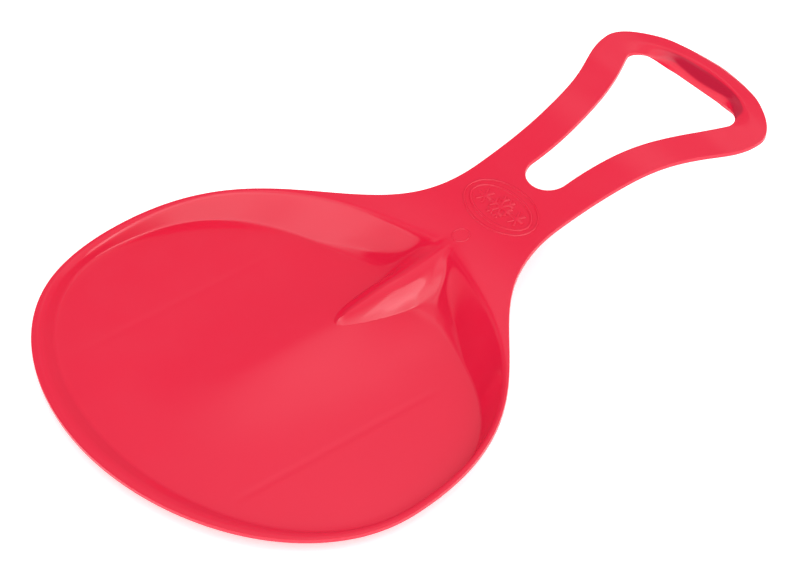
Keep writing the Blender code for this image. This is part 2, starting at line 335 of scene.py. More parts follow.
@dataclass(frozen=True)
class Scoop:
    """The seat: its rim, the wall of the scoop, the two pockets, the ridge and the floor."""

    profile: SideProfile
    fine: Fineness
    waist: Waist
    half_width: float
    widest_at: float = 121.0 * MM
    rim_rear: float = 4.0 * MM
    rim_side: float = 2.0 * MM
    edge_band: float = 1.0 * MM
    front_at: float = 269.7 * MM
    wall_run_rear: float = 14.0 * MM
    wall_run_side: float = 8.0 * MM
    wall_run_front: float = 37.5 * MM
    brim_reach: float = 2.6 * MM
    foot_reach: float = 1.2 * MM
    pocket_radius: float = 7.0 * MM
    pocket_foot_x: float = 32.0 * MM
    ridge_foot_x: float = 16.5 * MM
    ridge_foot_at: float = 226.0 * MM
    ridge_run_out: float = 4.0 * MM
    pocket_span: float = 60.0 * MM
    pocket_brim_reach: float = 5.0 * MM
    pocket_foot_reach: float = 12.0 * MM
    crest_reach: float = 30.0 * MM
    ridge_foot_reach: float = 1.5 * MM
    rear_handles: Pair = (0.474, 0.656)
    shoulder_handles: Pair = (0.608, 0.440)
    front_handles: Pair = (0.66, 0.507)
    front_sweep: float = 0.183
    foot_handles: Pair = (0.37, 0.97)
    foot_front_sweep: float = 0.20
    ridge_foot_flare: float = 0.10
    section_limit: float = 0.75
    ridge_section_limit: float = 0.36
    slope_limit: float = 0.45
    flank_bend: float = 0.85

    def outline(self) -> tuple[Line, Line]:
        """Half outline from the rear edge to the widest line, and on to the waist."""
        side, waist = (self.half_width, self.widest_at), (self.waist.half_width, self.waist.at)
        reach = self.waist.at - self.widest_at
        shoulder = curve(side, (side[0], side[1] + self.shoulder_handles[0] * reach),
                         (waist[0], waist[1] - self.shoulder_handles[1] * reach), waist, self.fine.shoulder)
        return self.rear_curve((0, 0), side), shoulder

    def rear_curve(self, rear: Sequence[float], side: Sequence[float]) -> Line:
        """Curve from the middle of the rear edge to the widest line.

        Args:
            rear: Point on the middle line.
            side: Point on the widest line.

        Returns:
            Evenly spaced points.
        """
        return curve(rear, (self.rear_handles[0] * side[0], rear[1]),
                     (side[0], side[1] - self.rear_handles[1] * (side[1] - rear[1])), side, self.fine.rear)

    def brim_line(self) -> tuple[Line, Line, Line, Line]:
        """Top edge of the scoop: back, front, round the pocket, and along the ridge's crest."""
        side = (self.half_width - self.rim_side, self.widest_at)
        front = self.front_curve(side)
        crest_start = Vector((0, self.profile.ridge_front_at))
        turn = front[-1] - crest_start
        pocket = curve(front[-1], front[-1] - Vector((ROUND * turn.x, -ROUND * turn.x * self.front_sweep)),
                       crest_start + Vector((0, ROUND * turn.y)), crest_start, self.fine.cross)
        crest_end = Vector((0, self.profile.ridge_tail_at))
        crest = [crest_start.lerp(crest_end, share) for share in evenly(self.fine.ridge)]
        return self.rear_curve((0, self.rim_rear), side), front, pocket, crest

    def front_curve(self, side: Sequence[float]) -> Line:
        """Curve of the brim from the widest line to the pocket's corner.

        Args:
            side: Point of the brim on the widest line.

        Returns:
            Evenly spaced points.
        """
        reach = self.front_handles[1] * side[0]
        whole = curve(side, (side[0], side[1] + self.front_handles[0] * (self.front_at - side[1])),
                      (reach, self.front_at - self.front_sweep * reach), (0, self.front_at), CURVE_SAMPLES)
        outside = [point for point in whole if point.x >= self.pocket_radius]
        return spaced(outside, evenly(self.fine.shoulder))

    def foot_line(self) -> tuple[Line, Line, Line, Line]:
        """Bottom edge of the scoop's wall, with a point for each point of the brim line."""
        side = (self.half_width - self.rim_side - self.wall_run_side, self.widest_at)
        turn_start = Vector((self.pocket_foot_x, self.front_at - self.wall_run_front))
        reach = self.foot_handles[1] * (side[0] - turn_start.x)
        front = curve(side, (side[0], side[1] + self.foot_handles[0] * (turn_start.y - side[1])),
                      turn_start + reach * Vector((1, -self.foot_front_sweep)), turn_start,
                      self.fine.shoulder)
        turn_end = Vector((self.ridge_foot_x, self.ridge_foot_at))
        tail = Vector((0, self.profile.ridge_tail_at - self.ridge_run_out))
        along = Vector((self.ridge_foot_flare, 1)).normalized()
        turn_reach = ROUND * (turn_start - turn_end).length
        run_reach = (turn_end - tail).length / 3
        turn = curve(turn_start, turn_start - turn_reach * Vector((1, -self.foot_front_sweep)),
                     turn_end + along * turn_reach, turn_end, self.fine.cross)
        run = curve(turn_end, turn_end - along * run_reach, tail + Vector((run_reach / 2, 0)), tail,
                    self.fine.ridge)
        return self.rear_curve((0, self.rim_rear + self.wall_run_rear), side), front, turn, run

    def deck_rows(self) -> Rows:
        """Rim band and neck, from the outline to the brim, with a narrow first band at the edge."""
        back, shoulder = self.outline()
        neck_end = Vector((0, self.waist.hole_start_at))
        neck = [shoulder[-1].lerp(neck_end, share) for share in evenly(self.fine.cross)]
        outer = joined(back, shoulder, neck)
        inner = joined(*self.brim_line()[:3])
        rows = []
        for far, near in zip(outer, inner):
            edge = self.edge_band / (near - far).length
            shares = [0.0, *(edge + (1 - edge) * share for share in evenly(self.fine.rim))]
            rows.append([self.profile.on_deck(far.lerp(near, share)) for share in shares])
        return rows

    def wall_rows(self) -> Rows:
        """Scoop wall, pocket and ridge flank: one section for each point of the brim."""
        back, front, pocket, crest = self.brim_line()
        foot = joined(*self.foot_line())
        deck_count = len(joined(back, front, pocket))
        rows = []
        for index, top in enumerate(joined(back, front, pocket, crest)):
            ridge = ease((index - deck_count + 1 + self.fine.cross) / self.fine.cross)
            height = self.profile.deck if index < deck_count else self.profile.crest
            brim = Vector((top.x, top.y, height(top.y)))
            bottom = self.profile.on_floor(foot[index])
            foot_slope = slope_of(lambda y: self.profile.floor(bottom.x, y), bottom.y)
            hollow = ease((self.pocket_radius + self.pocket_span - top.x) / self.pocket_span)
            wall_brim, wall_foot = self.brim_reach, self.foot_reach
            if top.y > self.widest_at:
                wall_brim += hollow * (self.pocket_brim_reach - self.brim_reach)
                wall_foot += hollow * (self.pocket_foot_reach - self.foot_reach)
            reaches = (wall_brim + ridge * (self.crest_reach - wall_brim),
                       wall_foot + ridge * (self.ridge_foot_reach - wall_foot))
            rows.append(self.wall_section(brim, slope_of(height, top.y), bottom, foot_slope, reaches, ridge))
        return rows

    def wall_section(self, brim: Vector, brim_slope: float, foot: Vector, foot_slope: float,
                     reaches: Pair, ridge: float) -> Line:
        """One section of the wall: a rounded brim, a straight slope and a hollow foot.

        Args:
            brim: Top of the section.
            brim_slope: Slope of the deck or crest along Y there.
            foot: Bottom of the section.
            foot_slope: Slope of the floor along Y there.
            reaches: How far the brim's and the foot's rounding reach along the wall.
            ridge: 0 on the scoop's wall and 1 on the ridge's flank.

        Returns:
            Points from the brim to the foot.
        """
        across = Vector((foot.x - brim.x, foot.y - brim.y))
        section_limit = self.section_limit + ridge * (self.ridge_section_limit - self.section_limit)
        fit = min(1.0, section_limit * across.length / sum(reaches))
        brim_reach, foot_reach = (reach * fit for reach in reaches)
        across.normalize()
        down = Vector((across.x, across.y, across.y * brim_slope))
        level = Vector((across.x, across.y, across.y * foot_slope))
        top_corner = brim + down * brim_reach
        low_corner = foot - level * foot_reach
        slope = low_corner - top_corner
        limit = self.slope_limit * slope.length
        along = slope.normalized()
        bend = min(brim_reach, limit)
        top_end = top_corner + along * (bend + ridge * (self.flank_bend * slope.length - bend))
        low_end = low_corner - along * min(foot_reach, limit * (1 - ridge * self.flank_bend))
        top = interpolate_bezier(brim, brim.lerp(top_corner, ROUND), top_end.lerp(top_corner, ROUND),
                                 top_end, self.fine.brim + 1)
        low = interpolate_bezier(low_end, low_end.lerp(low_corner, ROUND), foot.lerp(low_corner, ROUND),
                                 foot, self.fine.foot + 1)
        straight = [top_end.lerp(low_end, share) for share in evenly(self.fine.slope)]
        return joined(list(top), straight, list(low))

    def floor_rows(self) -> Rows:
        """Seat floor, from the foot of the outer wall to the middle line and the ridge's foot."""
        back, front, turn, run = self.foot_line()
        outer = joined(back, front)
        middle = spaced([back[0], run[-1]], evenly(len(outer) - len(run)))
        inner = joined(middle, run[::-1])
        rows = [[far.lerp(near, share) for share in evenly(self.fine.cross)]
                for far, near in zip(outer, inner)]
        rows[-1] = turn
        return [[self.profile.on_floor(point) for point in row] for row in rows]


@dataclass(frozen=True)
class HandLoop:
    """The hand loop: flat arms that turn into a half-round grip bar, open below.

    A skirt's section is an ellipse where its power is 2, and falls sooner and less steeply below that.
    """

    profile: SideProfile
    fine: Fineness
    waist: Waist
    half_width: float = 72.2 * MM
    grip_depth: float = 37.0 * MM
    hole_narrow: float = 15.6 * MM
    hole_end_length: float = 14.0 * MM
    hole_wide: float = 48.0 * MM
    hole_lean: float = 2.6 * MM
    corner_length: float = 17.0 * MM
    corner_width: float = 30.0 * MM
    grip_width: float = 23.6 * MM
    drop_inside: float = 8.7 * MM
    drop_outside: float = 6.2 * MM
    arm_handles: Pair = (0.775, 0.218)
    grip_handles: Pair = (0.512, 0.285)
    side_handles: Pair = (0.57, 0.063)
    inside_skirt: Pair = (0.0, 0.60)
    outside_skirt: Pair = (0.42, 1.0)
    inside_power: float = 1.5
    outside_power: float = 2.0

    def outline(self) -> Line:
        """Half outline from the waist to the middle of the grip."""
        waist, tip = (self.waist.half_width, self.waist.at), (0, self.profile.length)
        side = (self.half_width, tip[1] - self.grip_depth)
        reach = side[1] - waist[1]
        arm = curve(waist, (waist[0], waist[1] + self.arm_handles[0] * reach),
                    (side[0], side[1] - self.arm_handles[1] * reach), side, self.fine.arm)
        grip = curve(side, (side[0], side[1] + self.grip_handles[0] * self.grip_depth),
                     (self.grip_handles[1] * side[0], tip[1]), tip, self.fine.grip)
        return joined(arm, grip)

    def hole_outline(self) -> Line:
        """Half outline of the hand hole, from its narrow end to the middle of the grip."""
        start = Vector((0, self.waist.hole_start_at))
        narrow = Vector((self.hole_narrow, self.waist.hole_start_at + self.hole_end_length))
        grip_side = self.profile.length - self.grip_width
        wide = Vector((self.hole_wide, grip_side - self.corner_length))
        corner = Vector((wide.x - self.corner_width, grip_side))
        reach = wide.y - narrow.y
        lean = self.hole_lean / (self.side_handles[1] * reach)
        end = curve(start, start + Vector((ROUND * narrow.x, 0)),
                    narrow - Vector((0, ROUND * self.hole_end_length)), narrow, self.fine.hole_end)
        side = curve(narrow, narrow + Vector((0, self.side_handles[0] * reach)),
                     wide - Vector((self.hole_lean, self.side_handles[1] * reach)), wide,
                     self.fine.arm - self.fine.hole_end)
        turn_reach = ROUND * self.corner_length
        turn = curve(wide, wide + Vector((lean * turn_reach / 2, turn_reach)),
                     corner + Vector(((1 - ROUND) * self.corner_width, 0)), corner, CURVE_SAMPLES)
        grip = spaced(turn + [Vector((0, grip_side))], evenly(self.fine.grip))
        return joined(end, side, grip)

    def rows(self) -> Rows:
        """Rows across the loop, from its outline to the hand hole."""
        rows = []
        for index, (far, near) in enumerate(zip(self.outline(), self.hole_outline())):
            along = (index - self.fine.arm) / self.fine.grip
            outside = skirt_share(along, self.outside_skirt)
            inside = skirt_share(along, self.inside_skirt)
            row = []
            for share in evenly(self.fine.cross):
                skirt, drop, power = ((outside, self.drop_outside, self.outside_power) if share < 0.5
                                      else (inside, self.drop_inside, self.inside_power))
                share += skirt * ((1 - math.cos(math.pi * share)) / 2 - share)
                point = self.profile.on_deck(far.lerp(near, share))
                side = min(abs(2 * share - 1), 1.0)
                point.z -= drop * skirt * (1 - (1 - side ** power) ** (1 / power))
                row.append(point)
            rows.append(row)
        return rows


def skirt_share(along: float, span: Pair) -> float:
    """Share of its full depth that a skirt of the grip has, between its start and where it is full."""
    return ease((along - span[0]) / (span[1] - span[0]))


class Side(Enum):
    """The two sides of the slider."""

    RIGHT = 1
    LEFT = -1


@dataclass(frozen=True)
class Runner:
    """A low keel under the floor, with ramped ends and a flat foot."""

    length: float
    spacing: float = 161.0 * MM
    starts_at: float = 40.0 * MM
    ends_at: float = 204.0 * MM
    height: float = 3.5 * MM
    foot_width: float = 2.4 * MM
    root_width: float = 4.0 * MM
    ramp: float = 8.0 * MM
    sunk: float = 1.25 * MM
    edge_round: float = 0.4 * MM

    def build(self, side: Side) -> bpy.types.Object:
        """Make one keel, sunk into the wall above it.

        Args:
            side: Which side it is on.

        Returns:
            The keel as a helper object.
        """
        mesh = bmesh.new()
        bmesh.ops.create_cube(mesh, size=1)
        middle = (self.starts_at + self.ends_at - self.length) / 2
        for vert in mesh.verts:
            low = vert.co.z < 0
            half_length = (self.ends_at - self.starts_at) / 2 - (self.ramp if low else 0)
            width = self.foot_width if low else self.root_width
            vert.co = Vector((side.value * self.spacing / 2 + vert.co.x * width,
                              middle + 2 * vert.co.y * half_length, 0 if low else self.height + self.sunk))
        bmesh.ops.recalc_face_normals(mesh, faces=mesh.faces)
        foot = [edge for edge in mesh.edges if min(vert.co.z for vert in edge.verts) < MERGE]
        round_off(mesh, foot, self.edge_round)
        return add_object(f"runner_{side.name.lower()}", mesh)


@dataclass(frozen=True)
class Shell:
    """The whole moulding: one even wall under the scoop and the hand loop, with rounded edges.

    The ridge's blend is a smoothing in rounds over an oval that draws in from round to round.
    """

    scoop: Scoop
    loop: HandLoop
    runner: Runner
    wall: float = 2.5 * MM
    edge_round: float = 0.6 * MM
    rim_angle: float = math.radians(60)
    sharp_angle: float = math.radians(40)
    blend_middle: float = -8.0 * MM
    blend_reach: Pair = (42.0 * MM, 30.0 * MM)
    blend_rounds: int = 60
    blend_draws_in: float = 0.6
    blend_strength: float = 0.5

    @property
    def lift(self) -> Vector:
        """Way from the plan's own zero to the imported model's."""
        return Vector((0, -self.loop.profile.length / 2, self.runner.height + self.wall))

    def half_skin(self) -> Mesh:
        """Top face of the right half."""
        mesh = bmesh.new()
        for rows in (self.scoop.deck_rows(), self.scoop.wall_rows(), self.scoop.floor_rows(),
                     self.loop.rows()):
            patch(mesh, rows)
        bmesh.ops.remove_doubles(mesh, verts=mesh.verts, dist=MERGE)
        bmesh.ops.dissolve_degenerate(mesh, edges=mesh.edges, dist=MERGE)
        bmesh.ops.recalc_face_normals(mesh, faces=mesh.faces)
        if sum(face.normal.z * face.calc_area() for face in mesh.faces) < 0:
            bmesh.ops.reverse_faces(mesh, faces=mesh.faces)
        bmesh.ops.translate(mesh, verts=mesh.verts, vec=self.lift)
        self.blend_ridge(mesh)
        return mesh

    def blend_ridge(self, mesh: Mesh) -> None:
        """Let the ridge's end and foot run softly into the walls beside it.

        Args:
            mesh: The half skin, in place.
        """
        for turn in range(self.blend_rounds):
            share = 1 - turn / self.blend_rounds * self.blend_draws_in
            near = [vert for vert in mesh.verts
                    if math.hypot(vert.co.x / self.blend_reach[0],
                                  (vert.co.y - self.blend_middle) / self.blend_reach[1]) < share]
            bmesh.ops.smooth_vert(mesh, verts=near, factor=self.blend_strength, mirror_clip_x=True,
                                  clip_dist=MERGE, use_axis_x=True, use_axis_y=True, use_axis_z=True)

    def thicken(self, item: bpy.types.Object) -> None:
        """Mirror the half skin and give it its wall.

        Args:
            item: The half skin's object.
        """
        mirror = item.modifiers.new("Other half", "MIRROR")
        mirror.merge_threshold = MERGE
        wall = item.modifiers.new("Wall", "SOLIDIFY")
        wall.thickness = self.wall
        wall.offset = -1
        wall.use_even_offset = True
        wall.use_quality_normals = True
        settle(item)

    def round_edges(self, item: bpy.types.Object) -> None:
        """Round the rim's edges, as the mould leaves them.

        Args:
            item: The thickened shell.
        """
        mesh = bmesh.new()
        mesh.from_mesh(item.data)
        sharp = [edge for edge in mesh.edges if edge.calc_face_angle(0.0) > self.rim_angle]
        round_off(mesh, sharp, self.edge_round)
        mesh.to_mesh(item.data)
        mesh.free()

    def add_runners(self, item: bpy.types.Object) -> None:
        """Join both keels to the wall.

        Args:
            item: The rounded shell.
        """
        keels = [self.runner.build(side) for side in Side]
        for keel in keels:
            union = item.modifiers.new(keel.name, "BOOLEAN")
            union.operation = "UNION"
            union.solver = "EXACT"
            union.object = keel
        settle(item)
        for keel in keels:
            bpy.data.objects.remove(keel, do_unlink=True)

    def build(self) -> bpy.types.Object:
        """Make the shell.

        Returns:
            The finished piece.
        """
        item = add_object("slider_shell", self.half_skin())
        self.thicken(item)
        self.round_edges(item)
        self.add_runners(item)
        shade(item, self.sharp_angle)
        return item


@dataclass(frozen=True)
class NeckMarks:
    """Raised marks on the neck: two ovals round three plain snowflakes, and a small ring behind them."""

    profile: SideProfile
    middle_at: float = 312.3 * MM
    outer_oval: Pair = (29.6 * MM, 17.1 * MM)
    inner_oval: Pair = (25.4 * MM, 12.4 * MM)
    outer_width: float = 1.5 * MM
    inner_width: float = 2.0 * MM
    ring_at: float = 280.0 * MM
    ring_radius: float = 5.5 * MM
    ring_width: float = 1.2 * MM
    flake_radius: float = 9.4 * MM
    side_flake_radius: float = 6.0 * MM
    side_flake_out: float = 15.0 * MM
    arm_width: float = 1.9 * MM
    branch: Pair = (0.56, 0.34)
    mark_height: float = 0.6 * MM
    ring_height: float = 0.25 * MM
    sunk: float = 0.3 * MM
    oval_round: float = 0.7 * MM
    flake_round: float = 0.5 * MM
    rim_angle: float = math.radians(60)
    sharp_angle: float = math.radians(50)
    segments: int = 96
    arms: int = 6

    def add_oval(self, mesh: Mesh, radii: Pair, width: float) -> None:
        """Add a flat oval line round the zero.

        Args:
            mesh: The mesh that gets it.
            radii: Half its size across and along the slider, to the middle of the line.
            width: Width of the line.
        """
        edges = []
        for offset in (-width / 2, width / 2):
            circle = bmesh.ops.create_circle(mesh, cap_ends=False, segments=self.segments, radius=1)["verts"]
            bmesh.ops.scale(mesh, vec=(radii[0] + offset, radii[1] + offset, 1), verts=circle)
            edges.extend({edge for vert in circle for edge in vert.link_edges})
        bmesh.ops.bridge_loops(mesh, edges=edges)

    def add_flake(self, mesh: Mesh, out: float, radius: float, branched: bool) -> None:
        """Add a flat snowflake, whose branches leave its arms at 60 degrees.

        Args:
            mesh: The mesh that gets it.
            out: Distance of its middle from the slider's middle line.
            radius: Length of an arm.
            branched: Whether each arm has a pair of branches.
        """
        half, slant = self.arm_width / 2, Vector((0.5, -math.sqrt(0.75)))
        side = Vector((-slant.y, slant.x))
        points = [Vector((math.sqrt(3) * half, -half))]
        if branched:
            root = Vector((self.branch[0] * radius, 0))
            tip = root + slant * (self.branch[1] * radius + half)
            points += [root + Vector((-half / math.sqrt(3), -half)), tip - side * half, tip + side * half,
                       root + Vector((math.sqrt(3) * half, -half))]
        points.append(Vector((radius, -half)))
        outline = [Vector((0, 0)), *points, *(Vector((point.x, -point.y)) for point in reversed(points))]
        arm = mesh.faces.new([mesh.verts.new((point.x, point.y, 0)) for point in outline])
        others = self.arms - 1
        bmesh.ops.spin(mesh, geom=[arm, *arm.edges, *arm.verts], axis=(0, 0, 1), cent=(0, 0, 0),
                       angle=math.radians(360 / self.arms * others), steps=others, use_duplicate=True)
        own = {vert for face in (arm, *mesh.faces[-others:]) for vert in face.verts}
        bmesh.ops.translate(mesh, verts=list(own), vec=(out, 0, 0))

    def raise_marks(self, mesh: Mesh, middle_at: float, height: float, rounding: float) -> None:
        """Make flat marks solid, round their upper edges and lay them on the neck.

        Args:
            mesh: The flat marks round the zero.
            middle_at: Distance of their middle from the rear edge.
            height: How far they stand out.
            rounding: How far the rounding of their upper edges reaches.
        """
        bmesh.ops.remove_doubles(mesh, verts=mesh.verts, dist=MERGE)
        raised = bmesh.ops.extrude_face_region(mesh, geom=mesh.faces[:])["geom"]
        upper = [vert for vert in raised if isinstance(vert, bmesh.types.BMVert)]
        bmesh.ops.translate(mesh, verts=upper, vec=(0, 0, height + self.sunk))
        bmesh.ops.recalc_face_normals(mesh, faces=mesh.faces)
        rims = [edge for edge in mesh.edges if min(vert.co.z for vert in edge.verts) > height
                and edge.calc_face_angle(0.0) > self.rim_angle]
        round_off(mesh, rims, rounding)
        for vert in mesh.verts:
            vert.co.y += middle_at
            vert.co.z += self.profile.deck(vert.co.y) - self.sunk

    def build(self, lift: Vector) -> list[bpy.types.Object]:
        """Make the marks.

        Args:
            lift: Way from the plan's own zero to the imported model's.

        Returns:
            The double oval, the snowflakes in it, and the small ring.
        """
        ovals, flakes, ring = bmesh.new(), bmesh.new(), bmesh.new()
        self.add_oval(ovals, self.outer_oval, self.outer_width)
        self.add_oval(ovals, self.inner_oval, self.inner_width)
        self.add_flake(flakes, 0.0, self.flake_radius, True)
        for side in Side:
            self.add_flake(flakes, side.value * self.side_flake_out, self.side_flake_radius, False)
        self.add_oval(ring, (self.ring_radius, self.ring_radius), self.ring_width)
        self.raise_marks(ovals, self.middle_at, self.mark_height, self.oval_round)
        self.raise_marks(flakes, self.middle_at, self.mark_height, self.flake_round)
        self.raise_marks(ring, self.ring_at, self.ring_height, self.oval_round)
        items = []
        for name, mesh in (("neck_ovals", ovals), ("neck_snowflakes", flakes), ("neck_ring", ring)):
            bmesh.ops.translate(mesh, verts=mesh.verts, vec=lift)
            item = add_object(name, mesh)
            shade(item, self.sharp_angle)
            items.append(item)
        return items


def hex_colour(code: str) -> tuple[float, float, float, float]:
    """Turn an sRGB hex colour to linear.

    Args:
        code: Six hex digits.

    Returns:
        Red, green, blue and an alpha of one.
    """
    channels = (int(code[at:at + 2], 16) / 255 for at in (0, 2, 4))
    linear = [c / 12.92 if c <= 0.04045 else ((c + 0.055) / 1.055) ** 2.4 for c in channels]
    return (*linear, 1.0)


def add_node(tree: Tree, kind: str, inputs: dict | None = None, **settings: object
             ) -> bpy.types.Node:
    """Add a node with its settings and links.

    Args:
        tree: The node tree.
        kind: Type name of the node.
        inputs: Values or output sockets, by the input's name or number.
        **settings: Properties of the node.

    Returns:
        The new node.
    """
    node = tree.nodes.new(kind)
    for name, value in settings.items():
        setattr(node, name, value)
    for key, value in (inputs or {}).items():
        if isinstance(value, Socket):
            tree.links.new(value, node.inputs[key])
        else:
            node.inputs[key].default_value = value
    return node


def new_material(name: str) -> tuple[bpy.types.Material, Tree]:
    """Start a material with an empty node tree.

    Args:
        name: Name of the material.

    Returns:
        The material and its tree.
    """
    material = bpy.data.materials.new(name)
    material.use_nodes = True
    material.node_tree.nodes.clear()
    return material, material.node_tree


def noise(tree: Tree, place: Socket, size: float, detail: float) -> Socket:
    """Smooth noise with humps of a real size and a number of finer layers."""
    return add_node(tree, "ShaderNodeTexNoise", {"Vector": place, "Scale": 1 / size, "Detail": detail}
                    ).outputs[0]


def within(tree: Tree, spans: tuple[tuple[Socket, float, float], ...]) -> Socket:
    """Share that is full only where every value is past its span.

    Args:
        tree: The node tree.
        spans: For each value its socket, where its share is none and where it is full.

    Returns:
        The socket of the shares' product.
    """
    product = None
    for value, none, full in spans:
        share = add_node(tree, "ShaderNodeMapRange", {"Value": value, "From Min": none, "From Max": full},
                         interpolation_type="SMOOTHSTEP").outputs[0]
        product = share if product is None else add_node(
            tree, "ShaderNodeMath", {0: product, 1: share}, operation="MULTIPLY").outputs[0]
    return product


@dataclass(frozen=True)
class MouldedPolyethylene:
    """Glossy injection-moulded polyethylene, bright red all through.

    The mould's polish gives a clear gloss with a faint waviness where the wall shrank as it cooled, the
    plastic lets a little light in at its edges, two shallow sink marks lie over the runners, and along
    the middle and right of the grip's inner bend a deeper red is painted in as shade.
    """

    colour: str = "DB1B3B"
    flow_colour: str = "D71A39"
    flow_size: float = 90.0 * MM
    # Colour of the painted shade on the grip's inner bend.
    painted_shade_colour: str = "B41B37"
    painted_shade_slope: tuple[float, float, float, float] = (0.955, 0.915, 0.74, 0.64)
    painted_shade_facing: Pair = (0.0, -0.12)
    painted_shade_from: Pair = (200.0 * MM, 212.0 * MM)
    painted_shade_left: Pair = (-42.0 * MM, -20.0 * MM)
    ior: float = 1.5
    gloss: Pair = (0.08, 0.15)
    gloss_size: float = 24.0 * MM
    gloss_share: Pair = (0.35, 0.65)
    wave_size: float = 55.0 * MM
    wave_height: float = 0.10 * MM
    peel_size: float = 3.0 * MM
    peel_height: float = 0.004 * MM
    scatter: float = 0.12
    scatter_colour: tuple[float, float, float] = (1.0, 0.25, 0.3)
    scatter_depth: float = 1.6 * MM
    sink_depth: float = 0.045 * MM
    sink_reach: float = 4.5 * MM
    sink_out: float = 80.5 * MM
    sink_from: float = -207.0 * MM
    sink_to: float = -50.0 * MM
    sink_fade: float = 14.0 * MM
    top_face: Pair = (4.25 * MM, 4.75 * MM)

    def build(self) -> bpy.types.Material:
        """Make the material.

        Returns:
            The finished material.
        """
        material, tree = new_material("moulded_red_polyethylene")
        place = add_node(tree, "ShaderNodeTexCoord").outputs["Object"]
        flow = noise(tree, place, self.flow_size, 3.0)
        colour = add_node(tree, "ShaderNodeMix", {0: flow, 6: hex_colour(self.colour),
                                                  7: hex_colour(self.flow_colour)}, data_type="RGBA")
        # Painted shade: the grip's inner bend, where less light reaches, is mixed to a deeper red.
        colour = add_node(tree, "ShaderNodeMix", {0: self.painted_bend_shade(tree, place), 6: colour.outputs[2],
                                                  7: hex_colour(self.painted_shade_colour)}, data_type="RGBA")
        rough = add_node(tree, "ShaderNodeMapRange", {
            "Value": noise(tree, place, self.gloss_size, 4.0), "From Min": self.gloss_share[0],
            "From Max": self.gloss_share[1], "To Min": self.gloss[0], "To Max": self.gloss[1]})
        wave = add_node(tree, "ShaderNodeBump", {
            "Height": noise(tree, place, self.wave_size, 1.0), "Distance": self.wave_height,
            "Strength": 1.0})
        sink = add_node(tree, "ShaderNodeBump", {
            "Height": self.sink_marks(tree, place), "Distance": self.sink_depth, "Strength": 1.0,
            "Normal": wave.outputs[0]}, invert=True)
        peel = add_node(tree, "ShaderNodeBump", {
            "Height": noise(tree, place, self.peel_size, 2.0), "Distance": self.peel_height,
            "Strength": 1.0, "Normal": sink.outputs[0]})
        shader = add_node(tree, "ShaderNodeBsdfPrincipled", {
            "Base Color": colour.outputs[2], "Roughness": rough.outputs[0], "IOR": self.ior,
            "Subsurface Weight": self.scatter, "Subsurface Radius": self.scatter_colour,
            "Subsurface Scale": self.scatter_depth, "Normal": peel.outputs[0]})
        add_node(tree, "ShaderNodeOutputMaterial", {"Surface": shader.outputs[0]})
        return material

    def sink_marks(self, tree: Tree, place: Socket) -> Socket:
        """Shallow grooves on the seat's top face where the wall shrank over the runners.

        Args:
            tree: The node tree.
            place: Object coordinates.

        Returns:
            The socket of the grooves' share of their full depth.
        """
        parts = add_node(tree, "ShaderNodeSeparateXYZ", {0: place}).outputs
        out = add_node(tree, "ShaderNodeMath", {0: parts["X"]}, operation="ABSOLUTE").outputs[0]
        middle = (self.sink_from + self.sink_to) / 2
        along = add_node(tree, "ShaderNodeMath", {0: parts["Y"], 1: middle}, operation="SUBTRACT").outputs[0]
        far = add_node(tree, "ShaderNodeMath", {0: along}, operation="ABSOLUTE").outputs[0]
        off = add_node(tree, "ShaderNodeMath", {0: out, 1: self.sink_out}, operation="SUBTRACT").outputs[0]
        beside = add_node(tree, "ShaderNodeMath", {0: off}, operation="ABSOLUTE").outputs[0]
        half = (self.sink_to - self.sink_from) / 2
        return within(tree, (
            (beside, self.sink_reach, 0.0), (far, half, half - self.sink_fade), (parts["Z"], *self.top_face)))

    def painted_bend_shade(self, tree: Tree, place: Socket) -> Socket:
        """Share of the painted shade, a deeper red: full where the grip bends down towards the hand hole.

        Args:
            tree: The node tree.
            place: Object coordinates.

        Returns:
            The socket of the share.
        """
        normal = add_node(tree, "ShaderNodeTexCoord").outputs["Normal"]
        facing = add_node(tree, "ShaderNodeSeparateXYZ", {0: normal}).outputs
        parts = add_node(tree, "ShaderNodeSeparateXYZ", {0: place}).outputs
        level, sloping, steep, upright = self.painted_shade_slope
        return within(tree, (
            (facing["Z"], level, sloping), (facing["Z"], upright, steep), (facing["Y"], *self.painted_shade_facing),
            (parts["Y"], *self.painted_shade_from), (parts["X"], *self.painted_shade_left)))


@dataclass(frozen=True)
class StudioPaper:
    """Matt white background paper on a light table, which glows a little from below."""

    colour: str = "FAFAFA"
    roughness: float = 0.9
    glow: float = 0.45

    def build(self) -> bpy.types.Material:
        """Make the material.

        Returns:
            The finished material.
        """
        material, tree = new_material("white_background_paper")
        shader = add_node(tree, "ShaderNodeBsdfPrincipled", {
            "Base Color": hex_colour(self.colour), "Roughness": self.roughness,
            "Emission Color": hex_colour(self.colour), "Emission Strength": self.glow})
        add_node(tree, "ShaderNodeOutputMaterial", {"Surface": shader.outputs[0]})
        return material


def bearing(azimuth: float, elevation: float) -> Vector:
    """Unit direction by its degrees round from -Y towards +X and its degrees above the horizon."""
    a, e = math.radians(azimuth), math.radians(elevation)
    return Vector((math.sin(a) * math.cos(e), -math.cos(a) * math.cos(e), math.sin(e)))


def stand_back(item: bpy.types.Object, aim: Sequence[float], back: Vector, distance: float) -> None:
    """Put a camera or a light in the scene, some way back from the point it looks at.

    Args:
        item: The camera or light.
        aim: The point it looks at.
        back: Unit direction from that point to the item.
        distance: How far back it stands.
    """
    bpy.context.collection.objects.link(item)
    item.location = Vector(aim) + back * distance
    item.rotation_euler = (-back).to_track_quat("-Z", "Y").to_euler()


